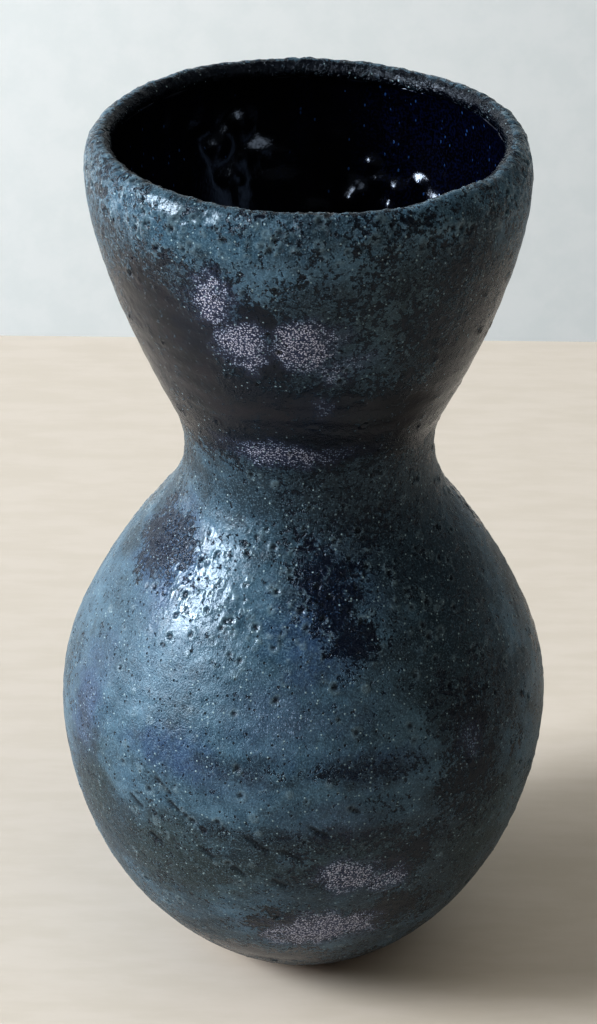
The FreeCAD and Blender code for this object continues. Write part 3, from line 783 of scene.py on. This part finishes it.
def liner_section():
    """Out over the floor and up against the clay, then down the visible inside to the axis."""
    against = wall_points(INNER_DEPTH, "floor", "collar", -math.pi / 2, LIP_TURN, PLAIN)
    inside = wall_points(LINER_DEPTH, "floor", "collar", -math.pi / 2, LIP_TURN, 1.0 * MM)
    under = straight_points((0, against[0][1]), against[0], 6)
    over = straight_points(inside[0], (0, inside[0][1]), 24)
    axis_low, axis_high = [[0, against[0][1]]], [[0, inside[0][1]]]
    return np.concatenate([axis_low, under, against, inside[::-1], over, axis_high])


def vee(start, end):
    """The V joint's section from one face of the wall to the other."""
    start, end = np.array(start), np.array(end)
    bottom = (start + end) / 2 - [0, TONGUE]
    return np.concatenate([straight_points(start, bottom, 3), [bottom], straight_points(bottom, end, 3)])


def lower_clay_section():
    """Under the base, up the outside, across the V groove, down the inside and over the floor."""
    rim, bevel = WAIST_HEIGHT - SLIP / 2, BASE_HEIGHT + BASE_BEVEL
    turns = [direction_at_height("waist", depth, rim) for depth in (CLAY_DEPTH, INNER_DEPTH)]
    start = direction_at_height("lower", CLAY_DEPTH, bevel)
    outside = wall_points(CLAY_DEPTH, "lower", "waist", start, turns[0], 2 * MM)
    inside = wall_points(INNER_DEPTH, "floor", "waist", -math.pi / 2, turns[1], PLAIN)
    edge = np.array([outside[0][0] - BASE_BEVEL, BASE_HEIGHT])
    axis_low, axis_high = np.array([0, BASE_HEIGHT]), np.array([0, inside[0][1]])
    under = straight_points(axis_low, edge, 40)
    over = straight_points(inside[0], axis_high, 6)
    groove = vee(outside[-1], inside[-1])
    return np.concatenate([[axis_low], under, [edge], outside, groove, inside[::-1], over, [axis_high]])


def upper_clay_section():
    """Up the outside of the cup, round the lip, down the inside and round the V tongue."""
    rim = WAIST_HEIGHT + SLIP / 2
    turns = [direction_at_height("waist", depth, rim) for depth in (CLAY_DEPTH, INNER_DEPTH)]
    outside = wall_points(CLAY_DEPTH, "waist", "lip", turns[0], LIP_TURN + math.pi, 2 * MM)
    inside = wall_points(INNER_DEPTH, "waist", "collar", turns[1], LIP_TURN, 2 * MM)
    tongue = vee(outside[0], inside[0])
    return np.concatenate([outside, inside[-2::-1], tongue[::-1]])


def waist_slip_section():
    """The V film between the two thrown sections."""
    faces = [WAIST_RADIUS - CLAY_DEPTH, WAIST_RADIUS - INNER_DEPTH]
    low, high = ([(x, WAIST_HEIGHT + side * SLIP / 2) for x in faces] for side in (-1, 1))
    under, over = vee(*low), vee(*high)
    return np.concatenate([[low[0]], [high[0]], over, [high[1]], [low[1]], under[::-1]])


def foot_ring_section():
    """The ring under the base, with its lower edges rounded and its outer side leaning in a little towards
    the sole.
    """
    low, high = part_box("foot_ring")
    top_radius, top, width, soft, lean = high.x, high.z, 6.0 * MM, 1.2 * MM, 1.0 * MM
    outer, inner = top_radius - lean - soft, top_radius - width + soft
    down = np.linspace(0, math.pi / 2, 9)
    outside = np.stack([outer + soft * np.cos(down), soft - soft * np.sin(down)], axis=1)
    inside = np.stack([inner - soft * np.sin(down), soft - soft * np.cos(down)], axis=1)
    seat = straight_points((top_radius - width, top), (top_radius, top), 8)
    outer_wall = straight_points((top_radius, top), outside[0], 5)
    inner_wall = straight_points(inside[-1], (top_radius - width, top), 5)
    sole = straight_points(outside[-1], inside[0], 5)
    inner_corner, outer_corner = [(top_radius - width, top)], [(top_radius, top)]
    around = [inner_corner, seat, outer_corner, outer_wall, outside, sole, inside, inner_wall]
    return np.concatenate(around)[::-1]


def foot_slip_section():
    """The film between the foot ring and the base."""
    low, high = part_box("foot_slip")
    inner = high.x - 6.0 * MM
    corners = [(inner, low.z), (high.x, low.z), (high.x, high.z), (inner, high.z)]
    sides = []
    for start, end in zip(corners, corners[1:] + corners[:1]):
        sides.extend([[start], straight_points(start, end, 4)])
    return np.concatenate(sides)


def place_piece(piece, node):
    """Fix a piece to the vase's only body, in place of its CAD node."""
    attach(piece, "root")
    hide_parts(node)


def make_pieces():
    """Every piece of the vase in place of its CAD node."""
    clay = clay_material("fired_stoneware", colour(92, 66, 48), colour(34, 24, 20), 0.66)
    slip = clay_material("fired_slip", colour(112, 88, 68), colour(60, 44, 34), 0.72)
    outer, liner = outer_glaze_material(), liner_glaze_material()
    coats = [
        ("glaze_coat", "outer_glaze", outer_glaze_section, GLAZE_COLUMNS, outer, outer_relief, "blue_glaze"),
        ("liner_coat", "liner_glaze", liner_section, LINER_COLUMNS, liner, liner_relief, "dark_liner_glaze"),
    ]
    bodies = [
        ("belly_clay", "lower_body", lower_clay_section, clay, "fired_clay"),
        ("cup_clay", "upper_body", upper_clay_section, clay, "fired_clay"),
        ("waist_slip_film", "waist_slip", waist_slip_section, slip, "joining_slip"),
        ("foot_ring_clay", "foot_ring", foot_ring_section, clay, "fired_clay"),
        ("foot_slip_film", "foot_slip", foot_slip_section, slip, "joining_slip"),
    ]
    for name, node, section, columns, material, relief, slot in coats:
        place_piece(lathe(name, section(), columns, material, relief), node)
    for name, node, section, material, slot in bodies:
        place_piece(lathe(name, section(), CLAY_COLUMNS, material), node)


make_pieces()

# ---------------------------------------------------------------- floor, wall and light

TABLE_FRONT, TABLE_SPLIT, TABLE_BACK = -4.0, -0.45, 0.468
STAGE_SIDE = 4.0
WALL_BACK, WALL_REACH = 2.6, 3.0
ROOM_TINT, ROOM_STRENGTH = (0.92, 0.96, 1.0, 1.0), 0.13
VASE_CENTRE = (0, 0, 0.15)
WHITE = (1.0, 1.0, 1.0)
# Light panels: (name, place, target, size, watts, colour, kind of reflection that it is hidden from).
LAMPS = [
    ("curtain", (-3.72, 0.32, 2.13), VASE_CENTRE, (2.1, 2.1), 65, WHITE, "glossy"),
    ("window", (-3.60, -0.84, 1.97), VASE_CENTRE, (1.2, 1.8), 175, WHITE, None),
    ("wash", (-1.7, 0.9, -0.4), (0.6, 2.6, -0.8), (1.0, 1.4), 17, (0.97, 0.99, 1.0), None),
    ("fill", (1.0, -0.9, 2.4), VASE_CENTRE, (3.0, 3.0), 17, (1.0, 0.86, 0.66), "glossy"),
    ("ceiling", (-0.6, -1.2, 2.0), VASE_CENTRE, (0.8, 0.6), 3, WHITE, "diffuse"),
    ("room_across", (1.7, -2.25, 1.1), VASE_CENTRE, (0.6, 0.4), 3, WHITE, "diffuse"),
]


def plain_material(name, shade, other, stretch):
    """Matt paint or pale timber with a barely visible grain."""
    s = Shader(name)
    grain = s.noise(9.0, 4.0, 0.6, stretch=stretch)
    return s.finish(s.mix(s.ramp(grain, 0.35, 0.65), shade, other), 0.6, Specular_IOR_Level=0.25)


def add_sheet(name, corners, material):
    """One flat stage sheet."""
    mesh = bpy.data.meshes.new(name)
    mesh.from_pydata(corners, [], [(0, 1, 2, 3)])
    mesh.materials.append(material)
    sheet = bpy.data.objects.new(name, mesh)
    bpy.context.scene.collection.objects.link(sheet)
    return sheet


def make_stage():
    """A pale table with a pale wall some way behind it; gloss doesn't see the table's far left part."""
    top = plain_material("pale_table", colour(200, 195, 187), colour(204, 199, 192), (0.25, 1.0, 1.0))
    paint = plain_material("pale_wall", colour(220, 225, 226), colour(224, 228, 229), (0.2, 0.2, 0.2))
    for name, left, right in (("table", TABLE_SPLIT, STAGE_SIDE), ("table_left", -STAGE_SIDE, TABLE_SPLIT)):
        edges = [(left, TABLE_FRONT), (right, TABLE_FRONT), (right, TABLE_BACK), (left, TABLE_BACK)]
        sheet = add_sheet(name, [(x, y, 0) for x, y in edges], top)
        sheet.visible_glossy = name == "table"
    corners = [(-1, -1), (1, -1), (1, 1), (-1, 1)]
    add_sheet("wall", [(STAGE_SIDE * x, WALL_BACK, WALL_REACH * z) for x, z in corners], paint)


def add_area(name, place, target, size, power, tint):
    """A soft light panel that faces a point."""
    data = bpy.data.lights.new(name, "AREA")
    data.shape = "RECTANGLE"
    data.size, data.size_y = size
    data.energy = power
    data.color = tint
    lamp = bpy.data.objects.new(name, data)
    lamp.location = place
    lamp.rotation_euler = (Vector(target) - Vector(place)).to_track_quat("-Z", "Y").to_euler()
    bpy.context.scene.collection.objects.link(lamp)
    return lamp


def make_light():
    """A window to the left, a wash over the far wall, a warm fill and the dim glow of a room."""
    for *settings, hidden_from in LAMPS:
        lamp = add_area(*settings)
        lamp.visible_glossy = hidden_from != "glossy"
        lamp.visible_diffuse = hidden_from != "diffuse"
    world = bpy.data.worlds.new("room")
    world.use_nodes = True
    background = world.node_tree.nodes["Background"]
    background.inputs["Color"].default_value = ROOM_TINT
    background.inputs["Strength"].default_value = ROOM_STRENGTH
    bpy.context.scene.world = world
    bpy.context.scene.view_settings.view_transform = "Standard"
    bpy.context.scene.view_settings.look = "High Contrast"


make_stage()
make_light()
